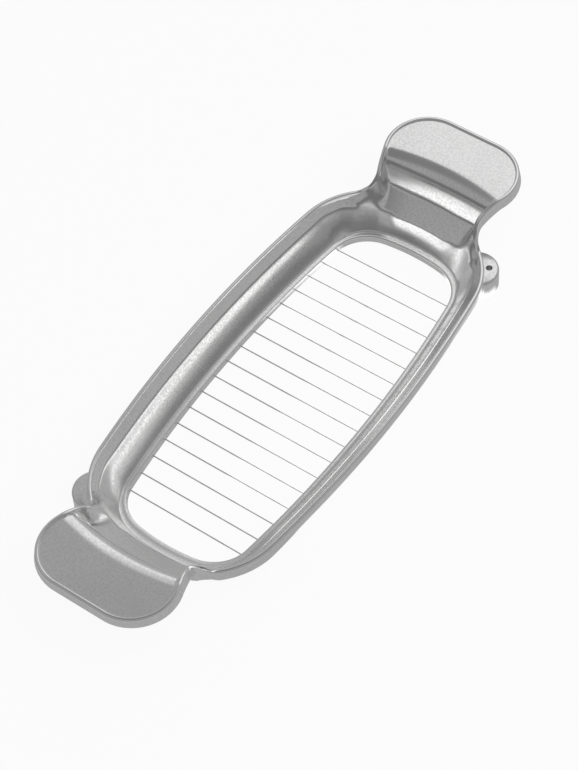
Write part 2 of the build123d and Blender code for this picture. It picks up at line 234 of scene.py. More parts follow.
def soft_min(a: float, b: float, width: float) -> float:
    """Take the smaller of two heights, with the edge between their surfaces rounded.

    Args:
        a: one height.
        b: the other height; either may be endless.
        width: difference in height at which the rounding begins.

    Returns:
        The smaller height, a little lower near the edge.
    """
    if inf in (a, b):
        return min(a, b)
    overlap = max(width - abs(a - b), 0.0) / width
    return min(a, b) - overlap * overlap * width / 4


def soft_max(a: float, b: float, width: float) -> float:
    """Larger of two heights, with the corner between their surfaces filled over a width."""
    return -soft_min(-a, -b, width)


def straight(start: Point, end: Point, x: float) -> float:
    """Value at x on the endless straight line through two points."""
    return start[1] + (x - start[0]) * (end[1] - start[1]) / (end[0] - start[0])


def along(knots: Sequence[Point], x: float) -> float:
    """Find the value at x on straight lines through knots, held beyond the first and the last.

    Args:
        knots: pairs of place and value, the places rising.
        x: where the value is wanted.

    Returns:
        The value.
    """
    for (start, low), (end, high) in zip(knots, knots[1:]):
        if x < end:
            return low + max(0.0, x - start) * (high - low) / (end - start)
    return knots[-1][1]


def find(low: float, high: float, test: Callable[[float], float]) -> float:
    """Find the value between low and high at which a rising function reaches nought.

    Args:
        low: a value where the function is below nought.
        high: a value where the function is above nought.
        test: the function.

    Returns:
        The value in between.
    """
    for _ in range(HALVINGS):
        middle = (low + high) / 2
        if test(middle) < 0:
            low = middle
        else:
            high = middle
    return (low + high) / 2


# ------------------------------------------------------------------ the casting's plan shapes


@dataclass(frozen=True)
class Barrel:
    """Closed plan outline of side, end and corner arcs, tangent to one another; mirrored in both axes."""

    half_length: float
    half_width: float
    side_radius: float
    end_radius: float
    corner_radius: float

    def side_y(self) -> float:
        """Place across the tray of the side arc's centre."""
        return self.half_width - self.side_radius

    def end_x(self) -> float:
        """Place along the tray of the end arc's centre."""
        return self.half_length - self.end_radius

    def corner(self) -> Point:
        """Find the centre of the corner arc in the first quarter.

        Returns:
            The centre in plan.
        """
        side_y, end_x = self.side_y(), self.end_x()
        gap = hypot(end_x, side_y)
        to_side = self.side_radius - self.corner_radius
        to_end = self.end_radius - self.corner_radius
        shift = (to_side**2 - to_end**2 + gap**2) / (2 * gap)
        across = sqrt(to_side**2 - shift**2)
        unit_x, unit_y = end_x / gap, -side_y / gap
        return shift * unit_x + across * unit_y, side_y + shift * unit_y - across * unit_x

    def arc(self, x: float, y: float) -> tuple[Point, float]:
        """Find the arc that faces a point of the first quarter.

        Args:
            x: distance along the tray.
            y: distance across the tray.

        Returns:
            The arc's centre and radius.
        """
        corner_x, corner_y = self.corner()
        side_y, end_x = self.side_y(), self.end_x()
        if x * (corner_y - side_y) < corner_x * (y - side_y):
            return (0.0, side_y), self.side_radius
        if (x - end_x) * corner_y > (corner_x - end_x) * y:
            return (end_x, 0.0), self.end_radius
        return (corner_x, corner_y), self.corner_radius

    def point(self, angle: float, growth: float = 0.0) -> Point:
        """Find the point of the outline whose outward normal stands at an angle.

        Args:
            angle: angle of the normal from the tray's length, in radians, nought to a right angle.
            growth: distance outside the outline.

        Returns:
            The point in plan.
        """
        corner_x, corner_y = self.corner()
        side_y, end_x = self.side_y(), self.end_x()
        if angle > atan2(corner_y - side_y, corner_x):
            centre, radius = (0.0, side_y), self.side_radius
        elif angle < atan2(corner_y, corner_x - end_x):
            centre, radius = (end_x, 0.0), self.end_radius
        else:
            centre, radius = (corner_x, corner_y), self.corner_radius
        reach = radius + growth
        return centre[0] + reach * cos(angle), centre[1] + reach * sin(angle)

    def depth(self, x: float, y: float) -> float:
        """How far a point of the first quarter lies inside the outline."""
        centre, radius = self.arc(x, y)
        return radius - hypot(x - centre[0], y - centre[1])


@dataclass(frozen=True)
class EdgePoint:
    """A place on the casting's outer edge in plan, with the angle of its outward normal."""

    x: float
    y: float
    angle: float

    def inward(self, depth: float) -> Point:
        """Point at a depth inside the edge."""
        return self.x - depth * cos(self.angle), self.y - depth * sin(self.angle)


@dataclass(frozen=True)
class Cove:
    """Section of the bowl at a bearing about the opening's corner: a flat ring, then an arc up the wall."""

    bearing: float
    ring_width: float
    start: float
    radius: float


@dataclass(frozen=True)
class Contour:
    """Level line of a neck's riser: a flat arc in plan with its middle on the centreline."""

    height: float
    length: float
    radius: float

    def reach(self, y: float) -> float:
        """Distance along the tray at a distance across it."""
        return self.length - y * y / (2 * self.radius)

    def middle(self, x: float, y: float) -> float:
        """Where the same arc, moved to pass through a point, meets the centreline."""
        return x + y**2 / (2 * self.radius)


@dataclass
class TrayShape:
    """Sizes and surfaces of the casting, in millimetres, for the quarter where x and y are positive.

    The slopes, drops, leans, climb and neck underside are pairs of a distance along the tray and the
    value there. The foot's section holds distances outside the opening and heights, the bead's and the
    skirt's hold distances inside the edge with drops below the crest or shares of the skirt's height.
    """

    # Plan outlines.
    opening: Barrel = Barrel(78.8, 29.4, 497.0, 80.0, 15.5)
    flange: Barrel = Barrel(94.0, 41.0, 494.0, 120.0, 30.0)
    rim: Barrel = Barrel(92.0, 42.35, 495.0, 120.0, 31.5)
    grip_end: float = 123.1
    grip_half_width: float = 27.4
    grip_corner_radius: float = 16.85
    grip_flank: float = radians(18.2)
    neck_fillet: float = 4.2
    neck_start: float = 80.0

    # Foot ring and inside of the bowl.
    ring_height: float = 3.1
    foot_width: float = 3.5
    foot_clearance: float = 0.1
    foot_section: tuple[Point, ...] = (
        (4.6, 2.0), (3.6, 1.02), (3.5, 0.9), (3.5, 0.3), (3.42, 0.09), (3.2, 0.0), (1.8, 0.0), (0.4, 0.0),
        (0.12, 0.09), (0.0, 0.35), (0.0, 1.5), (0.0, 2.65), (0.05, 2.88), (0.19, 3.04), (0.42, 3.1),
        (1.2, 3.1),
    )
    ring_easing: tuple[Point, ...] = ((-0.25, 0.0), (-0.04, 0.05))
    ring_margin: float = 0.12
    coves: tuple[Cove, ...] = (
        Cove(radians(4.0), 3.1, radians(54.0), 20.5),
        Cove(radians(13.0), 2.8, radians(57.0), 60.0),
        Cove(radians(46.0), 2.6, radians(57.0), 60.0),
        Cove(radians(62.0), 1.9, radians(47.0), 29.0),
    )

    # Outside of the wall.
    wall_foot: float = 2.2
    wall_radius: float = 27.7
    wall_start: float = radians(47.0)
    wall_thickness: float = 2.6

    # Flange, bead and skirt.
    flange_top: float = 15.9
    flange_slope: float = tan(radians(43.0))
    floor_slopes: tuple[Point, ...] = ((60.0, tan(radians(38.5))), (84.0, tan(radians(32.0))))
    rim_reach: float = 1.0
    ridge_rounding: float = 0.9
    corner_rounding: float = 1.6
    bead_width: float = 1.6
    bead_foot: float = 0.5
    bead_rise: float = 0.02
    bead_section: tuple[Point, ...] = (
        (1.53, 0.27), (1.36, 0.08), (1.12, 0.0), (0.8, 0.0), (0.48, 0.06), (0.2, 0.24), (0.05, 0.5),
    )
    skirt_depth: float = 4.3
    skirt_start: float = 0.85
    skirt_section: tuple[Point, ...] = (
        (0.0, 0.0), (0.0, 0.28), (0.0, 0.62), (0.0, 0.9), (0.06, 0.96), (0.22, 1.0),
    )
    skirt_lean: tuple[Point, ...] = (
        (50.0, 0.0), (66.0, 0.25), (84.0, 0.5), (95.0, 0.8), (112.0, 0.7), (123.1, 0.4),
    )
    skirt_drop: tuple[Point, ...] = (
        (46.0, 0.0), (60.0, 0.6), (68.0, 0.8), (76.0, 0.6), (86.0, 0.1), (90.0, 0.0),
    )

    # Necks and grips.
    climb: tuple[Point, ...] = (
        (82.0, 16.6), (84.2, 16.9), (86.2, 19.0), (88.2, 22.2),
        (90.8, 25.4), (94.9, 27.8), (100.0, 29.0), (106.0, 29.0),
    )
    grip_flat: float = 28.3
    plate_underside: float = 25.5
    neck_underside: tuple[Point, ...] = ((80.0, 3.5), (88.5, 6.4), (94.0, 11.0), (97.2, 15.2), (101.6, 25.5))
    neck_side: Point = (18.9, 13.2)
    neck_rise: float = 2.3
    neck_wall: float = 2.4
    cheek_slopes: tuple[Point, ...] = ((86.0, 1.3), (90.5, 3.5), (94.0, 6.0))
    cheek_drops: tuple[Point, ...] = ((80.0, 4.0), (84.5, 1.2))
    cheek_rounding: float = 4.5
    cheek_feet: list[tuple[float, ...]] = field(default_factory=list)
    riser: tuple[Contour, ...] = (
        Contour(15.9, 94.0, 120.0),
        Contour(20.0, 95.2, 128.0),
        Contour(24.0, 96.5, 138.0),
        Contour(27.9, 98.2, 150.0),
    )
    bend: Contour = Contour(28.3, 104.2, 95.0)
    bend_radius: float = 9.5
    bend_share: float = 0.9
    bend_rounding: float = 1.2
    base_rounding: float = 0.5

    def grip_corner(self) -> Point:
        """Centre of the grip's corner arc."""
        return self.grip_end - self.grip_corner_radius, self.grip_half_width - self.grip_corner_radius

    def fillet_centre(self) -> Point:
        """Find the centre of the hollow arc in plan where the rim turns into the neck.

        Returns:
            The centre in plan.
        """
        corner_x, corner_y = self.rim.corner()
        grip_x, grip_y = self.grip_corner()
        normal_x, normal_y = -sin(self.grip_flank), cos(self.grip_flank)
        level = normal_x * grip_x + normal_y * grip_y + self.grip_corner_radius + self.neck_fillet
        offset = level - (normal_x * corner_x + normal_y * corner_y)
        reach = self.rim.corner_radius + self.neck_fillet
        shift = sqrt(reach**2 - offset**2)
        return (
            corner_x + normal_x * offset + normal_y * shift,
            corner_y + normal_y * offset - normal_x * shift,
        )

    def rim_exit_angle(self) -> float:
        """Find the angle of the rim's normal where the neck's fillet begins.

        Returns:
            The angle in radians.
        """
        corner_x, corner_y = self.rim.corner()
        centre_x, centre_y = self.fillet_centre()
        return atan2(centre_y - corner_y, centre_x - corner_x)

    def cove(self, x: float, y: float) -> Cove:
        """Find the section of the bowl over a point in plan, which changes round the opening's corner.

        Args:
            x: distance along the tray.
            y: distance across the tray.

        Returns:
            The section there.
        """
        corner_x, corner_y = self.opening.corner()
        bearing = atan2(y - corner_y, x - corner_x)
        sizes = (
            along([(cove.bearing, getattr(cove, size)) for cove in self.coves], bearing)
            for size in ("ring_width", "start", "radius")
        )
        return Cove(bearing, *sizes)

    def cove_height(self, x: float, y: float) -> float:
        """Find the height of the ring and of the coved wall over a point in plan.

        Args:
            x: distance along the tray.
            y: distance across the tray.

        Returns:
            The height, endless beyond the arc's upright end.
        """
        cove = self.cove(x, y)
        outside = -self.opening.depth(x, y) - cove.ring_width
        if outside <= 0:
            return self.ring_height
        lean = sin(cove.start) + outside / cove.radius
        if lean >= 1:
            return inf
        return self.ring_height + cove.radius * (cos(cove.start) - sqrt(1 - lean * lean))

    def floor_height(self, x: float, y: float) -> float:
        """Height of the flange's sloping upper surface, which eases towards the ends."""
        return self.flange_top - along(self.floor_slopes, x) * self.flange.depth(x, y)

    def cheek_height(self, x: float, y: float) -> float:
        """Find the height of the fillet that falls away inwards from the bead by a shoulder and a neck.

        Args:
            x: distance along the tray.
            y: distance across the tray.

        Returns:
            The height of the highest cone that stands on the bead's foot.
        """
        return max(
            foot - slope * (hypot(x - edge_x, y - edge_y) - self.bead_width)
            for edge_x, edge_y, foot, slope in self.cheek_feet
        )

    def wall_growth(self, height: float) -> float:
        """Find the distance from the opening out to the outside of the wall.

        Args:
            height: where on the wall.

        Returns:
            The distance in plan.
        """
        lean = acos(cos(self.wall_start) - (height - self.ring_height) / self.wall_radius)
        inner = self.wall_foot + self.wall_radius * (sin(lean) - sin(self.wall_start))
        return inner + self.wall_thickness / sin(lean)

    def wall_height(self, growth: float) -> float:
        """Find the height of the outside of the wall.

        Args:
            growth: distance outside the opening.

        Returns:
            The height, endless beyond the wall.
        """
        if growth >= self.wall_growth(self.flange_top):
            return inf
        return find(self.ring_height, self.flange_top, lambda z: self.wall_growth(z) - growth)

    def climb_height(self, x: float) -> float:
        """Find the height of the bead's crest, on a smooth curve through its knots.

        Args:
            x: distance along the tray.

        Returns:
            The height.
        """
        knots = self.climb
        if x <= knots[0][0]:
            return knots[0][1]
        if x >= knots[-1][0]:
            return knots[-1][1]
        i = max(k for k in range(len(knots) - 1) if knots[k][0] <= x)
        slopes = []
        for k in (i, i + 1):
            if k in (0, len(knots) - 1) or knots[k][1] == knots[k + 1][1]:
                slopes.append(0.0)
            else:
                slopes.append((knots[k + 1][1] - knots[k - 1][1]) / (knots[k + 1][0] - knots[k - 1][0]))
        span = knots[i + 1][0] - knots[i][0]
        t = (x - knots[i][0]) / span
        return (
            (2 * t**3 - 3 * t**2 + 1) * knots[i][1]
            + (t**3 - 2 * t**2 + t) * span * slopes[0]
            + (3 * t**2 - 2 * t**3) * knots[i + 1][1]
            + (t**3 - t**2) * span * slopes[1]
        )

    def riser_height(self, x: float, y: float) -> float:
        """Find the height of the riser, and of the rounded bend above it, over a point in plan.

        Args:
            x: distance along the tray.
            y: distance across the tray.

        Returns:
            The height.
        """
        marks = [(contour.reach(y), contour.height) for contour in self.riser]
        if x < marks[0][0]:
            rise = straight(marks[0], marks[1], x)
        elif x < marks[-1][0]:
            rise = along(marks, x)
        else:
            rise = straight(marks[-2], marks[-1], x)
        inside = min(self.bend_share * self.bend_radius, max(0.0, self.bend.reach(y) - x))
        crown = self.bend.height - self.bend_radius + sqrt(self.bend_radius**2 - inside**2)
        return soft_min(rise, crown, self.bend_rounding)

    def top_height(self, x: float, y: float) -> float:
        """Find the height of the casting's upper surface, inside the bead.

        Args:
            x: distance along the tray.
            y: distance across the tray.

        Returns:
            The height.
        """
        floor = self.floor_height(x, y)
        if x > self.neck_start:
            floor = soft_max(floor, min(self.riser_height(x, y), self.grip_flat), self.base_rounding)
            floor = soft_max(floor, min(self.cheek_height(x, y), self.grip_flat), self.cheek_rounding)
        else:
            floor = min(floor, self.flange_top + self.corner_rounding)
        floor = soft_min(self.cove_height(x, y), floor, self.ridge_rounding)
        return min(floor, self.grip_flat)

    def under_height(self, x: float, y: float) -> float:
        """Find the height of the casting's lower surface, outside the foot.

        Args:
            x: distance along the tray.
            y: distance across the tray.

        Returns:
            The height.
        """
        depth = self.rim.depth(x, y)
        under = inf
        if depth > -self.rim_reach:
            under = self.climb[0][1] - self.skirt_depth - self.flange_slope * depth
        wall = self.wall_height(max(-self.opening.depth(x, y), self.foot_width + self.foot_clearance))
        under = soft_min(under, wall, self.corner_rounding)
        if x > self.neck_start:
            neck = along(self.neck_underside, x)
            side = self.neck_side[1] + (y - self.neck_side[0]) * self.neck_rise
            neck = soft_max(neck, min(side, self.plate_underside), self.corner_rounding)
            neck = min(neck, self.plate_underside, self.top_height(x, y) - self.neck_wall)
            under = soft_min(under, neck, self.corner_rounding)
        return under


# ------------------------------------------------------------------ the casting


class Skin(Enum):
    """The casting's two surfaces."""

    UPPER = "upper"
    LOWER = "lower"


@dataclass
class CastFrame:
    """The one-piece casting: foot ring, coved wall, flange, beaded rim, necks and hand grips.

    Its mesh is made of stations, which run along the creases and the outer edge from the middle of a
    side round to the end of a grip, and of rows between the creases and the edge.
    """

    shape: TrayShape = field(default_factory=TrayShape)
    side_steps: int = 30
    corner_steps: int = 26
    fillet_steps: int = 6
    flank_steps: int = 26
    grip_steps: int = 28
    outer_steps: int = 7
    wall_shares: tuple[float, ...] = (0.0, 0.05, 0.12, 0.22, 0.34, 0.47, 0.6, 0.73, 0.84, 0.92, 0.97, 1.0)
    flange_shares: tuple[float, ...] = (0.0, 0.04, 0.11, 0.22, 0.36, 0.52, 0.68, 0.82, 0.92, 0.97, 1.0)
    across: tuple[float, ...] = (
        1.0, 0.985, 0.968, 0.95, 0.93, 0.91, 0.89, 0.87, 0.85, 0.828, 0.8, 0.765,
        0.72, 0.66, 0.59, 0.51, 0.43, 0.35, 0.27, 0.18, 0.09, 0.0,
    )
    crease_limit: float = 9.6
    under_limits: Point = (4.6, 15.4)
    root_spread: float = radians(6.5)
    root_centre: float = 88.4
    rim_inset: float = 0.5
    taper_lead: int = 6
    taper_steps: int = 8
    cheek_step: float = 0.3
    fill_start: float = 60.0
    fill_width: float = 1.0
    fill_margin: float = 0.1

    def __post_init__(self) -> None:
        """Work out the stations along the creases and along the outer edge."""
        self.angles = self.side_angles()
        self.root = len(self.angles) - 1
        self.angles += self.end_angles(self.angles[-1])
        self.edge = self.edge_points()
        self.shape.cheek_feet = list(self.cheek_feet())
        self.neck_rows = self.fillet_steps + self.flank_steps + self.grip_steps
        self.centres = self.row_centres()
        self.creases = {
            Skin.UPPER: [self.shape.opening.point(a, self.crease_growth(a)) for a in self.angles],
            Skin.LOWER: [self.shape.opening.point(a, self.under_growth(a)) for a in self.angles],
        }

    def side_angles(self) -> list[float]:
        """Set out the stations from the middle of a side to the root of a neck.

        Returns:
            The angles of their normals.
        """
        opening = self.shape.opening
        corner_x, corner_y = opening.corner()
        turn = atan2(corner_y - opening.side_y(), corner_x)
        end_x = opening.side_radius * cos(turn)
        angles = [acos(end_x * i / self.side_steps / opening.side_radius) for i in range(self.side_steps)]
        leave = self.shape.rim_exit_angle()
        angles += [turn + (leave - turn) * i / self.corner_steps for i in range(self.corner_steps + 1)]
        steps = range(1, self.fillet_steps + 1)
        return angles + [leave - self.root_spread * i / self.fillet_steps for i in steps]

    def crease_growth(self, angle: float) -> float:
        """Find the distance from the opening out to the crease between wall and flange.

        Args:
            angle: angle of the opening's normal.

        Returns:
            The distance along that normal.
        """
        shape = self.shape

        def gap(growth: float) -> float:
            """Height of the wall above the flange."""
            x, y = shape.opening.point(angle, growth)
            return shape.cove_height(x, y) - shape.floor_height(x, y)

        return find(shape.wall_foot, self.crease_limit, gap)

    def under_growth(self, angle: float) -> float:
        """Find the distance from the opening out to where the wall meets the flange's underside.

        Args:
            angle: angle of the opening's normal.

        Returns:
            The distance along that normal.
        """
        shape = self.shape
        skirt_bottom = shape.climb[0][1] - shape.skirt_depth

        def gap(height: float) -> float:
            """Height of the wall's outside above the flange's underside."""
            x, y = shape.opening.point(angle, shape.wall_growth(height))
            return height - skirt_bottom + shape.flange_slope * shape.rim.depth(x, y)

        return shape.wall_growth(find(*self.under_limits, gap))

    def end_angles(self, start: float) -> list[float]:
        """Set out the stations across an end, spaced as the shares in `across` of the crease's width.

        Args:
            start: angle of the normal at the root of the neck.

        Returns:
            The angles of their normals.
        """

        def crease_y(angle: float) -> float:
            """Place of the crease across the tray."""
            return self.shape.opening.point(angle, self.crease_growth(angle))[1]

        width = crease_y(start)
        return [
            find(0.0, start, lambda angle: crease_y(angle) - share * width) if share else 0.0
            for share in self.across[1:]
        ]

    def edge_points(self) -> list[EdgePoint]:
        """Set out the stations along the outer edge: side, corner, neck, flank, grip corner and end.

        Returns:
            The stations in order.
        """
        shape = self.shape
        leave = shape.rim_exit_angle()
        flank_angle = pi / 2 + shape.grip_flank
        fillet_x, fillet_y = shape.fillet_centre()
        grip_x, grip_y = shape.grip_corner()
        points = [EdgePoint(*shape.rim.point(a), a) for a in self.angles[: self.root + 1 - self.fillet_steps]]
        reach = shape.neck_fillet
        for i in range(1, 2 * self.fillet_steps + 1):
            angle = leave + (flank_angle - leave) * i / (2 * self.fillet_steps)
            points.append(EdgePoint(fillet_x - reach * cos(angle), fillet_y - reach * sin(angle), angle))
        start = points[-1].x, points[-1].y
        reach = shape.grip_corner_radius
        end = grip_x + reach * cos(flank_angle), grip_y + reach * sin(flank_angle)
        for i in range(1, self.flank_steps):
            points.append(EdgePoint(*between(start, end, i / self.flank_steps), flank_angle))
        for i in range(self.grip_steps + 1):
            angle = flank_angle * (1 - i / self.grip_steps)
            points.append(EdgePoint(grip_x + reach * cos(angle), grip_y + reach * sin(angle), angle))
        return points + [EdgePoint(shape.grip_end, grip_y * share, 0.0) for share in self.across[1:]]

    def cheek_feet(self) -> Iterator[tuple[float, float, float, float]]:
        """Walk the outer edge round a shoulder in close steps.

        Returns:
            Each step's place in plan, with the cheek's height and slope there, one by one.
        """
        shape = self.shape
        last = self.root + self.fillet_steps + self.flank_steps
        for start, end in zip(self.edge[:last], self.edge[1:]):
            steps = ceil(hypot(end.x - start.x, end.y - start.y) / self.cheek_step)
            for i in range(steps):
                x, y = between((start.x, start.y), (end.x, end.y), i / steps)
                if x > shape.neck_start:
                    foot = shape.climb_height(x) - along(shape.cheek_drops, x)
                    yield x, y, foot, along(shape.cheek_slopes, x)

    def row_centres(self) -> list[float]:
        """Find where each row across a neck or grip meets the centreline, so that rows lie along the creases.

        Returns:
            The distances along the tray.
        """
        shape = self.shape
        rows = self.edge[self.root : self.root + self.neck_rows + 1]
        inner = [point.inward(shape.bead_width) for point in rows]
        knots = [(inner[0][0], self.root_centre)]
        for contour in (shape.riser[0], shape.riser[-1], shape.bend):
            meet = min(inner, key=lambda place: abs(contour.middle(*place) - contour.length))
            knots.append((meet[0], contour.middle(*meet)))
        knots.append((inner[-1][0], inner[-1][0]))
        centres = []
        for x, _ in inner:
            i = max([k for k in range(len(knots) - 1) if knots[k][0] <= x] or [0])
            centres.append(straight(knots[i], knots[i + 1], x))
        return centres

    def inset(self, station: int) -> float:
        """Find the depth of the skirt's inner foot, which grows from the rim's to the bead's.

        Args:
            station: number of the station along the outer edge.

        Returns:
            The depth inside the edge.
        """
        first = self.root + self.fillet_steps + self.flank_steps - self.taper_lead
        share = min(1.0, max(0.0, (station - first) / self.taper_steps))
        return self.rim_inset + (self.shape.bead_width - self.rim_inset) * share

    def rim_point(self, skin: Skin, station: int) -> Point:
        """Where a surface ends in plan near a station of the outer edge."""
        return self.edge[station].inward(self.shape.bead_width if skin is Skin.UPPER else self.inset(station))

    def height(self, skin: Skin, point: Point) -> Place:
        """Point of a surface over a point in plan."""
        rise = self.shape.top_height if skin is Skin.UPPER else self.shape.under_height
        return point[0], point[1], rise(*point)

    def neck_point(self, skin: Skin, column: int, row: int) -> Place:
        """Find a point of the upper or lower surface of a neck and grip.

        Args:
            skin: the surface.
            column: station across the neck, from its side to the centreline.
            row: row from the crease round the tray out to the end of the grip.

        Returns:
            The point in millimetres.
        """
        last_share = len(self.flange_shares) - 1
        share = self.across[column]
        station = self.root + max(0, row - last_share)
        side_x, side_y = self.rim_point(skin, station)
        centre = self.centres[station - self.root] + (side_x - self.rim_point(Skin.UPPER, station)[0])
        point = centre - (centre - side_x) * share**2, side_y * share
        if row < last_share:
            crease = self.creases[skin][self.root + column]
            point = between(crease, point, self.flange_shares[row])
        return self.height(skin, point)

    def flange_point(self, skin: Skin, column: int, row: int) -> Place:
        """Find a point of the upper or lower surface of the flange along a side.

        Args:
            skin: the surface.
            column: number of the station.
            row: row from the crease to the edge.

        Returns:
            The point in millimetres.
        """
        crease, edge = self.creases[skin][column], self.rim_point(skin, column)
        return self.height(skin, between(crease, edge, self.flange_shares[row]))

    def bowl_rows(self, column: int) -> list[Place]:
        """Find the section through wall and foot: up the outside, round the foot and up the inside.

        Args:
            column: number of the station.

        Returns:
            The section's points in millimetres.
        """
        shape = self.shape
        angle = self.angles[column]
        inner_crease, outer_crease = (self.creases[skin][column] for skin in Skin)
        foot_growth, ring_height = shape.wall_growth(shape.ring_height), shape.ring_height
        foot_edge = shape.opening.point(angle, foot_growth)
        ring_width = shape.cove(*shape.opening.point(angle, shape.wall_foot)).ring_width
        ring_edge = shape.opening.point(angle, ring_width + shape.ring_margin)
        section = [(foot_growth, ring_height), *shape.foot_section]
        section += [(ring_width + step, ring_height + rise) for step, rise in shape.ring_easing]
        outside = [between(outer_crease, foot_edge, i / self.outer_steps) for i in range(self.outer_steps)]
        rows = [self.height(Skin.LOWER, point) for point in outside]
        rows += [(*shape.opening.point(angle, growth), height) for growth, height in section]
        return rows + [
            self.height(Skin.UPPER, between(ring_edge, inner_crease, share)) for share in self.wall_shares
        ]

    def band_rows(self, station: int) -> list[Place]:
        """Find the section through bead and skirt, from inside over to underneath.

        Args:
            station: number of the station along the outer edge.

        Returns:
            The section's points in millimetres.
        """
        shape = self.shape
        point = self.edge[station]

        def crest_point(depth: float, drop: float) -> Place:
            """Point at a depth inside the edge and a drop below the bead's crest."""
            x, y = point.inward(depth)
            return x, y, shape.climb_height(x) - drop

        x, y, low = self.height(Skin.UPPER, point.inward(shape.bead_width))
        high = max(crest_point(shape.bead_width, shape.bead_foot)[2], low + shape.bead_rise)
        rows = [(x, y, low), *((x, y, low + (high - low) * i / 3) for i in (1, 2)), (x, y, high)]
        rows += [crest_point(depth, drop) for depth, drop in shape.bead_section]
        lean, extra = along(shape.skirt_lean, point.x), along(shape.skirt_drop, point.x)
        bottom = shape.skirt_depth + extra
        for depth, share in shape.skirt_section:
            drop = shape.skirt_start + (bottom - shape.skirt_start) * share
            rows.append(crest_point(depth - lean * share, drop))
        x, y, low = crest_point(self.inset(station), bottom)
        high = self.height(Skin.LOWER, point.inward(self.inset(station)))[2]
        return rows + [(x, y, low), (x, y, (low + high) / 2), (x, y, high)]

    def quarter(self) -> bpy.types.Object:
        """Shape the quarter of the casting where x and y are positive.

        Returns:
            The quarter, open along its two planes of symmetry.
        """
        bowl = [self.bowl_rows(i) for i in range(len(self.angles))]
        band = [self.band_rows(i) for i in range(len(self.edge))]
        sides, ends = self.root + 1, len(self.across)
        flange_rows = len(self.flange_shares)
        parts = [
            sheet("bowl", len(bowl), len(bowl[0]), lambda i, j: bowl[i][j]),
            sheet("band", len(band), len(band[0]), lambda i, j: band[i][j]),
        ]
        for skin in Skin:
            parts.append(sheet("flange", sides, flange_rows, lambda i, j: self.flange_point(skin, i, j)))
            rows = flange_rows + self.neck_rows
            parts.append(sheet("grip", ends, rows, lambda i, j: self.neck_point(skin, i, j)))
        return join("casting", parts)

    def build(self) -> bpy.types.Object:
        """Shape the whole casting.

        Returns:
            The closed casting without its ears and slots.
        """
        casting = self.quarter()
        apply_modifier(
            casting,
            "MIRROR",
            use_axis=(True, True, False),
            use_clip=False,
            use_mirror_merge=True,
            merge_threshold=WELD,
        )
        weld(casting)
        self.fill_ring(casting)
        return casting

    def fill_ring(self, casting: bpy.types.Object) -> None:
        """Widen the foot ring inwards at the end at -x, where it is broader than at the other.

        Args:
            casting: the closed casting.
        """
        shape = self.shape
        for corner in casting.data.vertices:
            x, y = -corner.co.x / MM, abs(corner.co.y) / MM
            if x < self.fill_start or corner.co.z > (shape.ring_height + self.fill_margin) * MM:
                continue
            growth = max(0.0, -shape.opening.depth(x, y))
            rise = min(1.0, (x - self.fill_start) / (shape.opening.half_length - self.fill_start))
            share = max(0.0, 1 - growth / shape.wall_foot) * rise * rise * (3 - 2 * rise)
            corner.co.x += self.fill_width * share * MM


@dataclass
class Ears:
    """The two bosses on opposite corners that take the anchor screws, and the wire slots in the foot."""

    shape: TrayShape = field(default_factory=TrayShape)
    centre: Point = (78.3, -29.5)
    radius: float = 8.4
    bottom: float = 4.6
    top: float = 13.5
    edge_rounding: float = 0.9
    wall_radii: Point = (24.5, 30.8)
    margin: float = 1.0
    boss_sides: int = 72
    wall_sides: int = 120
    hole_sides: int = 32
    hole_centre: Point = (81.0, -33.3)
    hole_radius: float = 1.25
    blind_hole_top: float = 10.6
    wire_count: int = 17
    wire_pitch: float = 8.2
    slot_width: float = 0.6
    slot_height: float = 0.85
    slot_reach: float = 50.0

    def boss(self, sign: int) -> bpy.types.Object:
        """Shape one ear, cut back so that it ends inside the casting's wall.

        Args:
            sign: +1 for the ear at positive x, -1 for the other.

        Returns:
            The ear.
        """
        x, y = sign * self.centre[0], sign * self.centre[1]
        ear = rod(self.radius, (x, y, self.bottom), self.top - self.bottom, self.boss_sides)
        apply_modifier(ear, "BEVEL", width=self.edge_rounding * MM, segments=3, limit_method="ANGLE")
        corner_x, corner_y = self.shape.rim.corner()
        low, high = self.bottom - self.margin, self.top + self.margin
        slope = (self.wall_radii[1] - self.wall_radii[0]) / (self.top - self.bottom)
        bowl = add(
            bpy.ops.mesh.primitive_cone_add,
            vertices=self.wall_sides,
            radius1=(self.wall_radii[0] - slope * self.margin) * MM,
            radius2=(self.wall_radii[1] + slope * self.margin) * MM,
            depth=(high - low) * MM,
            location=(sign * corner_x * MM, -sign * corner_y * MM, (low + high) / 2 * MM),
        )
        combine(ear, Combining.CUT, bowl)
        return ear

    def saw(self) -> bpy.types.Object:
        """Shape the blades that saw the wire slots.

        Returns:
            The blades, joined.
        """
        half = self.slot_width / 2
        places = (self.wire_pitch * (i - (self.wire_count - 1) / 2) for i in range(self.wire_count))
        blades = [
            block((x - half, -self.slot_reach, -self.margin), (x + half, self.slot_reach, self.slot_height))
            for x in places
        ]
        return join("saw", blades)

    def fit(self, casting: bpy.types.Object) -> None:
        """Join the ears to the casting, drill them and saw the wire slots.

        Args:
            casting: the casting to finish.
        """
        for sign in (1, -1):
            combine(casting, Combining.ADD, self.boss(sign))
            hole_top = 2 * self.top if sign > 0 else self.blind_hole_top
            foot = sign * self.hole_centre[0], sign * self.hole_centre[1], 0.0
            combine(casting, Combining.CUT, rod(self.hole_radius, foot, hole_top, self.hole_sides))
        combine(casting, Combining.CUT, self.saw())


# ------------------------------------------------------------------ finishes


class Ease(Enum):
    """How a ramp runs between its ends."""

    STRAIGHT = "LINEAR"
    SMOOTH = "SMOOTHSTEP"


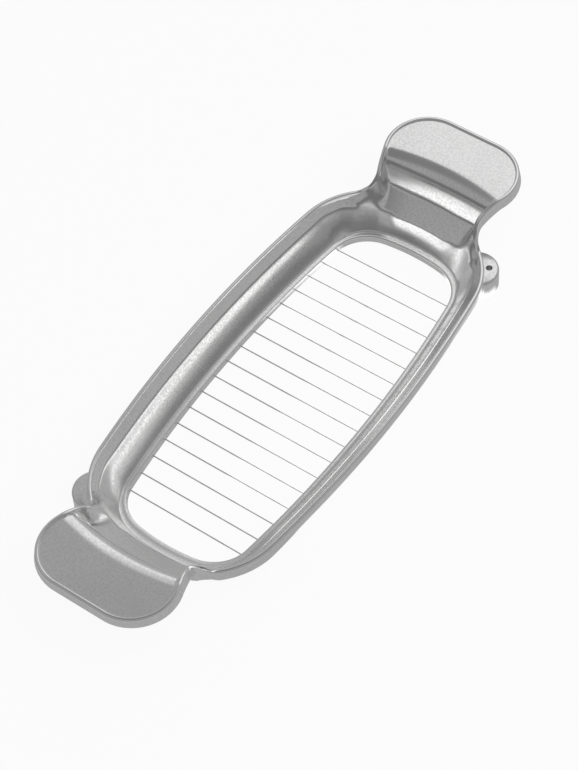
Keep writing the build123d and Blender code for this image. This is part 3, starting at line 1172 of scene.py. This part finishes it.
class NodeBench:
    """A node tree, with short calls to add and join nodes."""

    def __init__(self, tree: bpy.types.NodeTree) -> None:
        """Take up a tree.

        Args:
            tree: the node tree to work on.
        """
        self.tree = tree

    def node(self, kind: str, **settings: object) -> bpy.types.Node:
        """Add a node.

        Args:
            kind: Blender's name for the node type.
            settings: its properties, or its inputs by name with _ for a blank.

        Returns:
            The node.
        """
        made = self.tree.nodes.new(kind)
        for key, value in settings.items():
            if hasattr(made, key):
                setattr(made, key, value)
            else:
                self.feed(made.inputs[key.replace("_", " ")], value)
        return made

    def feed(self, socket: bpy.types.NodeSocket, value: object) -> None:
        """Give a socket a value, or link it to another node's output.

        Args:
            socket: the socket to feed.
            value: the value, or the output to link.
        """
        if isinstance(value, bpy.types.NodeSocket):
            self.tree.links.new(value, socket)
        else:
            socket.default_value = value

    def sums(self, operation: str, a: object, b: object) -> object:
        """Work out a sum on two sockets or numbers.

        Args:
            operation: Blender's name for the sum.
            a: first socket or number.
            b: second socket or number.

        Returns:
            The result's socket.
        """
        made = self.node("ShaderNodeMath", operation=operation)
        self.feed(made.inputs[0], a)
        self.feed(made.inputs[1], b)
        return made.outputs[0]

    def ramp(
        self, value: object, limits: Point, start: object, end: object, ease: Ease = Ease.STRAIGHT
    ) -> object:
        """Map a range of values to another, with the ends held.

        Args:
            value: socket to map.
            limits: inputs that give start and end.
            start: first output, a number or a socket.
            end: last output, a number or a socket.
            ease: how the output runs between them.

        Returns:
            The mapped output socket.
        """
        made = self.node("ShaderNodeMapRange", clamp=True, interpolation_type=ease.value)
        for index, number in enumerate((value, *limits, start, end)):
            self.feed(made.inputs[index], number)
        return made.outputs[0]

    def backdrop(self, full: float, glance: float) -> object:
        """Work out the share of the backdrop's glow that a ray sees by its kind; on the floor, glossy rays
        see a painted reflection rather than plain white.

        Args:
            full: share for camera and transmission rays.
            glance: share for glossy rays.

        Returns:
            The share's socket.
        """
        path = self.node("ShaderNodeLightPath").outputs
        direct = self.sums("MAXIMUM", path["Is Camera Ray"], path["Is Transmission Ray"])
        direct = self.sums("MULTIPLY", direct, full)
        return self.sums("MAXIMUM", direct, self.sums("MULTIPLY", path["Is Glossy Ray"], glance))


class Bench(NodeBench):
    """Node tree of one material on a Principled shader."""

    def __init__(self, name: str) -> None:
        """Start a material.

        Args:
            name: name of the material.
        """
        self.material = bpy.data.materials.new(name)
        self.material.use_nodes = True
        super().__init__(self.material.node_tree)
        self.shader = self.tree.nodes["Principled BSDF"]
        self.output = self.tree.nodes["Material Output"]
        self.place = self.node("ShaderNodeTexCoord").outputs["Object"]

    def noise(self, grain: Point, stretch: Place | None = None) -> object:
        """Lay noise over the object, from nought to one.

        Args:
            grain: its waves per metre and its octaves of finer noise.
            stretch: factor on the waves along each axis, if any.

        Returns:
            The noise output socket.
        """
        place = self.place
        if stretch:
            place = self.node("ShaderNodeMapping", Vector=self.place, Scale=stretch).outputs["Vector"]
        made = self.node("ShaderNodeTexNoise", Vector=place, Scale=grain[0], Detail=grain[1])
        return made.outputs["Fac"]

    def mix(self, share: object, a: object, b: object) -> object:
        """Blend two colours.

        Args:
            share: share of the second, a number or a socket.
            a: first colour.
            b: second colour.

        Returns:
            The blend's socket.
        """
        made = self.node("ShaderNodeMix", data_type="RGBA")
        self.feed(made.inputs[0], share)
        self.feed(made.inputs[6], a)
        self.feed(made.inputs[7], b)
        return made.outputs[2]

    def bump(self, height: object, relief: Point, normal: object = None) -> object:
        """Disturb the normal by a height pattern.

        Args:
            height: the pattern.
            relief: height of the pattern in millimetres, and share of the effect.
            normal: normal to start from, if any.

        Returns:
            The new normal's socket.
        """
        made = self.node("ShaderNodeBump", Height=height, Distance=relief[0] * MM, Strength=relief[1])
        if normal is not None:
            self.feed(made.inputs["Normal"], normal)
        return made.outputs["Normal"]

    def dress(self, **inputs: object) -> bpy.types.Material:
        """Feed the shader.

        Args:
            inputs: its inputs by name, with _ for a blank.

        Returns:
            The material.
        """
        for key, value in inputs.items():
            self.feed(self.shader.inputs[key.replace("_", " ")], value)
        return self.material


def grey(level: float, warmth: float = 0.0) -> tuple[float, float, float, float]:
    """Grey colour, warmer above nought and cooler below."""
    return level * (1 + warmth), level, level * (1 - warmth), 1.0


@dataclass(frozen=True)
class CastAluminium:
    """Satin cast aluminium with a fine speckle, polished by use along its edges.

    A noise is waves per metre and octaves, a range is the part of a noise that is spread from nought
    to its share, and a relief is a height in millimetres and its strength.
    """

    name: str = "cast_aluminium"
    light: float = 0.92
    dark: float = 0.79
    pit: float = 0.56
    worn: float = 0.92
    warmth: float = 0.002
    roughness: Point = (0.24, 0.15)
    cloud_noise: Point = (40.0, 3.0)
    cloud_range: Point = (0.35, 0.65)
    cloud_share: float = 0.35
    speckle_noise: Point = (1300.0, 3.0)
    speckle_range: Point = (0.36, 0.62)
    speckle_share: float = 0.65
    speckle_relief: Point = (0.005, 0.35)
    satin_range: Point = (0.35, 0.65)
    grain_noise: Point = (2600.0, 2.0)
    grain_relief: Point = (0.002, 0.5)
    pit_range: Point = (0.62, 0.75)
    pit_share: float = 0.8
    wave_noise: Point = (140.0, 2.0)
    wave_relief: Point = (0.02, 0.15)
    polish_gain: float = 0.05
    crest_depth: float = 0.7
    polish_reach: float = 1.6

    def material(self) -> bpy.types.Material:
        """Make the material.

        Returns:
            The material.
        """
        bench = Bench(self.name)
        clouds = bench.noise(self.cloud_noise)
        speckle = bench.noise(self.speckle_noise)
        grain = bench.noise(self.grain_noise)
        waves = bench.noise(self.wave_noise)
        polish = bench.node("ShaderNodeAttribute", attribute_name="polish").outputs["Fac"]
        share = bench.ramp(speckle, self.speckle_range, 0.0, self.speckle_share)
        share = bench.sums("ADD", bench.ramp(clouds, self.cloud_range, 0.0, self.cloud_share), share)
        colour = bench.mix(share, grey(self.dark, self.warmth), grey(self.light, self.warmth))
        colour = bench.mix(bench.ramp(grain, self.pit_range, 0.0, self.pit_share), colour, grey(self.pit))
        colour = bench.mix(polish, colour, grey(self.worn))
        satin = bench.ramp(speckle, self.satin_range, *self.roughness)
        satin = bench.sums("SUBTRACT", satin, bench.sums("MULTIPLY", polish, self.polish_gain))
        normal = bench.bump(waves, self.wave_relief)
        normal = bench.bump(speckle, self.speckle_relief, normal)
        normal = bench.bump(grain, self.grain_relief, normal)
        return bench.dress(Metallic=1.0, Base_Color=colour, Roughness=satin, Normal=normal)


@dataclass(frozen=True)
class BrightSteel:
    """Bright steel with drawing lines along one axis and a faint tarnish."""

    name: str
    level: float
    roughness: float
    stretch: Place
    tarnish_noise: Point = (180.0, 3.0)
    tarnish_range: Point = (0.35, 0.7)
    tarnish_share: float = 0.82
    tarnish_warmth: float = 0.015
    line_noise: Point = (5000.0, 2.0)
    line_range: Point = (0.3, 0.7)
    line_spread: Point = (-0.05, 0.07)
    line_relief: Point = (0.004, 0.4)

    def material(self) -> bpy.types.Material:
        """Make the material.

        Returns:
            The material.
        """
        bench = Bench(self.name)
        tarnish = bench.noise(self.tarnish_noise)
        lines = bench.noise(self.line_noise, self.stretch)
        dull = grey(self.tarnish_share * self.level, self.tarnish_warmth)
        colour = bench.mix(bench.ramp(tarnish, self.tarnish_range, 0.0, 1.0), grey(self.level), dull)
        satin = bench.ramp(lines, self.line_range, *(self.roughness + step for step in self.line_spread))
        normal = bench.bump(lines, self.line_relief)
        return bench.dress(Metallic=1.0, Base_Color=colour, Roughness=satin, Normal=normal)


# ------------------------------------------------------------------ studio


@dataclass(frozen=True)
class SoftBox:
    """A soft lamp aimed at the middle of the tool, its angles in degrees and its sizes in metres."""

    name: str
    heading: float
    elevation: float
    distance: float
    width: float
    height: float
    radiance: float
    in_gloss: bool = True

    def build(self) -> None:
        """Hang the lamp."""
        lamp = bpy.data.lights.new(self.name, "AREA")
        lamp.shape = "RECTANGLE"
        lamp.size, lamp.size_y = self.width, self.height
        lamp.energy = self.radiance * pi * self.width * self.height
        holder = bpy.data.objects.new(self.name, lamp)
        bpy.context.collection.objects.link(holder)
        heading, rise = radians(self.heading), radians(self.elevation)
        away = Vector((cos(heading) * cos(rise), sin(heading) * cos(rise), sin(rise)))
        holder.location = away * self.distance
        holder.visible_glossy = self.in_gloss
        holder.rotation_mode = "QUATERNION"
        holder.rotation_quaternion = away.to_track_quat("Z", "Y")


@dataclass
class Studio:
    """Pale floor, soft lamps, surroundings and camera.

    Sizes are in metres, but for the camera's place, and angles in degrees. A painted glint patch is a range
    along the tray and one across it, where glossy rays see the floor brighter than its painted shade; the
    sky's foot, rise and crown are ranges of the view's upward share.
    """

    floor_size: float = 8.0
    floor_grey: float = 0.9
    floor_roughness: float = 0.9
    lamps: tuple[SoftBox, ...] = (
        SoftBox("back_box", 12.0, 49.0, 1.3, 0.8, 0.6, 0.45),
        SoftBox("low_box", 25.0, 27.0, 1.3, 0.6, 0.36, 0.45),
        SoftBox("key_lamp", 270.0, 62.0, 1.6, 1.4, 1.4, 1.9, in_gloss=False),
    )
    white_share: float = 0.93
    # painted reflection: glossy rays see the floor glow at a grey level that stands in for the floor's shade,
    # and brighter over set patches
    painted_reflection_share: float = 0.9
    sky_glance: float = 0.1
    painted_shade_level: float = 0.42
    painted_glint_level: float = 1.45
    painted_glint_patches: tuple[tuple[Point, Point], ...] = (
        ((-0.046, 0.07), (-0.04, -0.002)),
        ((0.066, 0.08), (-0.04, -0.018)),
        ((0.026, 0.064), (0.005, 0.024)),
    )
    painted_glint_edge: float = 0.005
    sky_horizon: float = 0.07
    sky_glow: float = 0.3
    glow_heading: float = 20.0
    sky_level: float = 0.32
    sky_side: float = 0.06
    sky_heading: float = 350.0
    sky_top: float = 0.12
    sky_below: float = 0.7
    sky_foot: Point = (-0.1, 0.0)
    sky_rise: Point = (0.27, 0.43)
    sky_crown: Point = (0.83, 0.92)
    camera_place: Place = (-402.2, -327.3, 726.9)
    camera_heading: float = 39.258
    camera_drop: float = 54.197
    camera_roll: float = 4.985
    camera_range: Point = (0.01, 50.0)
    sensor: float = 36.0
    focal_pixels: float = 2431.6

    def build(self) -> None:
        """Set up the studio."""
        self.floor()
        self.surroundings()
        for lamp in self.lamps:
            lamp.build()
        self.camera()

    def floor(self) -> None:
        """Lay the pale floor: white to the eye, with a trace of shadow, and to glossy rays a painted shade
        level with patches of painted reflection over set places.
        """
        plane = add(bpy.ops.mesh.primitive_plane_add, size=self.floor_size)
        plane.name = "floor"
        bench = Bench("floor_white_painted_reflection")
        bench.dress(Base_Color=grey(self.floor_grey), Roughness=self.floor_roughness)
        sides = bench.node("ShaderNodeSeparateXYZ", Vector=bench.place).outputs
        # painted reflection and painted shade: to glossy rays the floor glows at a set grey that stands in
        # for shade, and brighter over set patches
        gloss = self.painted_shade_level
        for patch in self.painted_glint_patches:
            light = self.painted_glint_level
            for side, (start, end) in zip(sides, patch):
                before, beyond = start - self.painted_glint_edge, end + self.painted_glint_edge
                light = bench.ramp(side, (before, start), self.painted_shade_level, light, Ease.SMOOTH)
                light = bench.ramp(side, (end, beyond), light, self.painted_shade_level, Ease.SMOOTH)
            gloss = bench.sums("MAXIMUM", gloss, light)
        level = bench.ramp(bench.backdrop(1.0, 0.0), (0.0, 1.0), gloss, 1.0)
        glow = bench.node("ShaderNodeEmission", Color=grey(1.0), Strength=level)
        blend = bench.node("ShaderNodeMixShader", Fac=bench.backdrop(self.white_share, self.painted_reflection_share))
        bench.feed(blend.inputs[1], bench.shader.outputs[0])
        bench.feed(blend.inputs[2], glow.outputs[0])
        bench.feed(bench.output.inputs["Surface"], blend.outputs[0])
        plane.data.materials.append(bench.material)
        plane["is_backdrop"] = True

    def surroundings(self) -> None:
        """Give the world its soft grey walls, dark near the horizon, which show white to the camera."""
        world = bpy.data.worlds.new("studio")
        bpy.context.scene.world = world
        world.use_nodes = True
        bench = NodeBench(world.node_tree)
        ahead = bench.node("ShaderNodeTexCoord").outputs["Generated"]
        x, y, z = bench.node("ShaderNodeSeparateXYZ", Vector=ahead).outputs

        def towards(heading: float, gain: float) -> object:
            """Level of a glow that leans towards a heading."""
            run, cross = (gain * turn(radians(heading)) for turn in (cos, sin))
            return bench.sums("ADD", bench.sums("MULTIPLY", x, run), bench.sums("MULTIPLY", y, cross))

        glow = bench.sums("MAXIMUM", towards(self.glow_heading, self.sky_glow), 0.0)
        low = bench.sums("ADD", glow, self.sky_horizon)
        high = bench.sums("ADD", towards(self.sky_heading, self.sky_side), self.sky_level)
        wall = bench.ramp(z, self.sky_rise, low, high, Ease.SMOOTH)
        wall = bench.ramp(z, self.sky_crown, wall, self.sky_top, Ease.SMOOTH)
        level = bench.ramp(z, self.sky_foot, self.sky_below, wall)
        walls = world.node_tree.nodes["Background"]
        bench.feed(walls.inputs["Strength"], level)
        bench.feed(walls.inputs["Color"], grey(1.0))
        white = bench.node("ShaderNodeBackground", Color=grey(1.0), Strength=1.0)
        blend = bench.node("ShaderNodeMixShader", Fac=bench.backdrop(1.0, self.sky_glance))
        bench.feed(blend.inputs[1], walls.outputs[0])
        bench.feed(blend.inputs[2], white.outputs[0])
        bench.feed(world.node_tree.nodes["World Output"].inputs["Surface"], blend.outputs[0])

    def camera(self) -> None:
        """Place the camera and frame the tool."""
        lens = bpy.data.cameras.new("camera")
        lens.lens = self.focal_pixels / RENDER_HEIGHT * self.sensor
        lens.sensor_width = self.sensor
        lens.clip_start, lens.clip_end = self.camera_range
        holder = bpy.data.objects.new("camera", lens)
        bpy.context.collection.objects.link(holder)
        heading, drop, roll = (radians(a) for a in (self.camera_heading, self.camera_drop, self.camera_roll))
        ahead = Vector((cos(drop) * cos(heading), cos(drop) * sin(heading), -sin(drop)))
        level = Vector((sin(heading), -cos(heading), 0.0))
        down = ahead.cross(level)
        right = level * cos(roll) + down * sin(roll)
        turn = Matrix((right, ahead.cross(right) * -1, -ahead)).transposed()
        holder.location = Vector(self.camera_place) * MM
        holder.rotation_mode = "QUATERNION"
        holder.rotation_quaternion = turn.to_quaternion()
        bpy.context.scene.camera = holder


# ------------------------------------------------------------------ assembly


@dataclass
class ButterSlicer:
    """The whole tool: the casting and the laced wire with its clamps."""

    aluminium: CastAluminium = CastAluminium()
    wire: BrightSteel = BrightSteel("drawn_wire", 0.9, 0.3, (1.0, 0.04, 1.0))
    strand: BrightSteel = BrightSteel("bent_wire", 0.64, 0.32, (0.2, 0.2, 1.0))
    screw: BrightSteel = BrightSteel("plated_screw", 0.58, 0.34, (1.0, 0.15, 1.0))
    washer: BrightSteel = BrightSteel("plated_washer", 0.6, 0.38, (0.15, 1.0, 1.0))
    smooth_angle: float = radians(38.0)

    def casting(self) -> bpy.types.Object:
        """Build and dress the casting.

        Returns:
            The finished casting.
        """
        maker = CastFrame()
        casting = maker.build()
        Ears().fit(casting)
        pick_only(casting)
        bpy.ops.object.shade_smooth_by_angle(angle=self.smooth_angle)
        self.mark_polish(casting, maker)
        casting.name = "cast_frame"
        casting.data.materials.clear()
        casting.data.materials.append(self.aluminium.material())
        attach(casting, "root")
        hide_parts("frame")
        return casting

    def mark_polish(self, casting: bpy.types.Object, maker: CastFrame) -> None:
        """Store how far each corner of the mesh is polished by handling: the bead's crest most.

        Args:
            casting: the finished mesh.
            maker: the builder that holds the edge's stations.
        """
        tree = KDTree(len(maker.edge))
        for i, point in enumerate(maker.edge):
            x, y = point.inward(self.aluminium.crest_depth)
            tree.insert((x, y, maker.shape.climb_height(x)), i)
        tree.balance()
        polish = casting.data.attributes.new("polish", "FLOAT", "POINT")
        values = []
        for vertex in casting.data.vertices:
            distance = tree.find([abs(c) / MM for c in vertex.co])[2]
            values.append(max(0.0, 1.0 - distance / self.aluminium.polish_reach))
        polish.data.foreach_set("value", values)

    def wires(self) -> list[bpy.types.Object]:
        """Dress the wires, their turns and their clamps, which keep their drawn shapes.

        Returns:
            The dressed pieces.
        """
        finishes = {
            "cutting_wire": self.wire.material(),
            "wire_": self.strand.material(),
            "anchor_screws": self.screw.material(),
            "clamp_washers": self.washer.material(),
        }
        dressed = []
        for name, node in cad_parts.items():
            for start, material in finishes.items():
                if name.startswith(start):
                    node.data.materials.clear()
                    node.data.materials.append(material)
                    dressed.append(node)
        return dressed


def keep_size() -> None:
    """Work out the boxes of the drawn part and of the visual model."""
    boxes = {"cad": CAD_BOX, "visual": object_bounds()}
    plain = {name: [list(corner) for corner in box] for name, box in boxes.items()}


def main() -> None:
    """Build the butter slicer piece by piece, light it and place the camera."""
    logging.basicConfig(level=logging.INFO, format="%(name)s: %(message)s")
    slicer = ButterSlicer()
    casting = slicer.casting()
    log.info("casting: %d faces", len(casting.data.polygons))
    for piece in slicer.wires():
        log.info("%s dressed", piece.name)
    bpy.context.scene.view_settings.view_transform = "Standard"
    Studio().build()
    keep_size()


if __name__ == "__main__":
    main()
